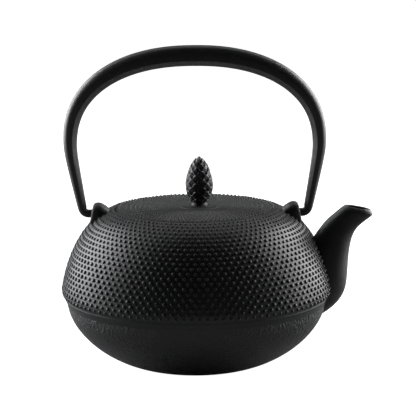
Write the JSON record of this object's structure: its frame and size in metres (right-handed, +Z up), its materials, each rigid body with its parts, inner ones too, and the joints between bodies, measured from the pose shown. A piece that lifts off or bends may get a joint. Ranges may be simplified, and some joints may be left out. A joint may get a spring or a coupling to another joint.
{
  "type": "cast iron teapot",
  "caption": "Round cast iron teapot with a studded shoulder, swinging bail handle, flush lid with a pine cone knob, and a lift-out strainer.",
  "frame": {"origin": "centre of the flat base, on the surface the pot stands on", "axes": "+Z up along the pot's axis, +X towards the spout, the bail's pins lie along X"},
  "size_m": [0.2068, 0.1788, 0.2133],
  "materials": {
    "pot_iron": "satin black coated casting with fine sand grain and rows of raised studs",
    "lid_iron": "satin black coated casting with fine raised studs",
    "bail_iron": "smooth satin black bar with fine grain",
    "knob_iron": "semi-gloss black casting, slightly purple",
    "fastener_steel": "bright plain steel",
    "infuser_steel": "fine brushed stainless sheet"
  },
  "bodies": {
    "pot": {"pot_bowl": "pot_iron", "pot_shoulder": "pot_iron", "spout": "pot_iron", "left_ear": "pot_iron", "right_ear": "pot_iron"},
    "bail": {"bail_handle": "bail_iron"},
    "infuser": {"infuser_collar": "infuser_steel", "infuser_wall": "infuser_steel", "infuser_floor": "infuser_steel", "infuser_foot_ring": "infuser_steel"},
    "lid": {"lid": "lid_iron", "knob_seat": "lid_iron", "knob": "knob_iron", "knob_stud": "fastener_steel", "knob_washer": "fastener_steel", "knob_nut": "fastener_steel"}
  },
  "joints": [
    {"name": "bail_hinge", "type": "hinge", "parent": "pot", "child": "bail", "pos_m": [0, 0, 0.102], "axis": [1, 0, 0], "range_deg": [-113, 113]},
    {"name": "infuser_lift", "type": "slide", "parent": "pot", "child": "infuser", "axis": [0, 0, 1], "range_m": [0, 0.028]},
    {"name": "lid_lift", "type": "slide", "parent": "infuser", "child": "lid", "axis": [0, 0, 1], "range_m": [0, 0.03]}
  ]
}
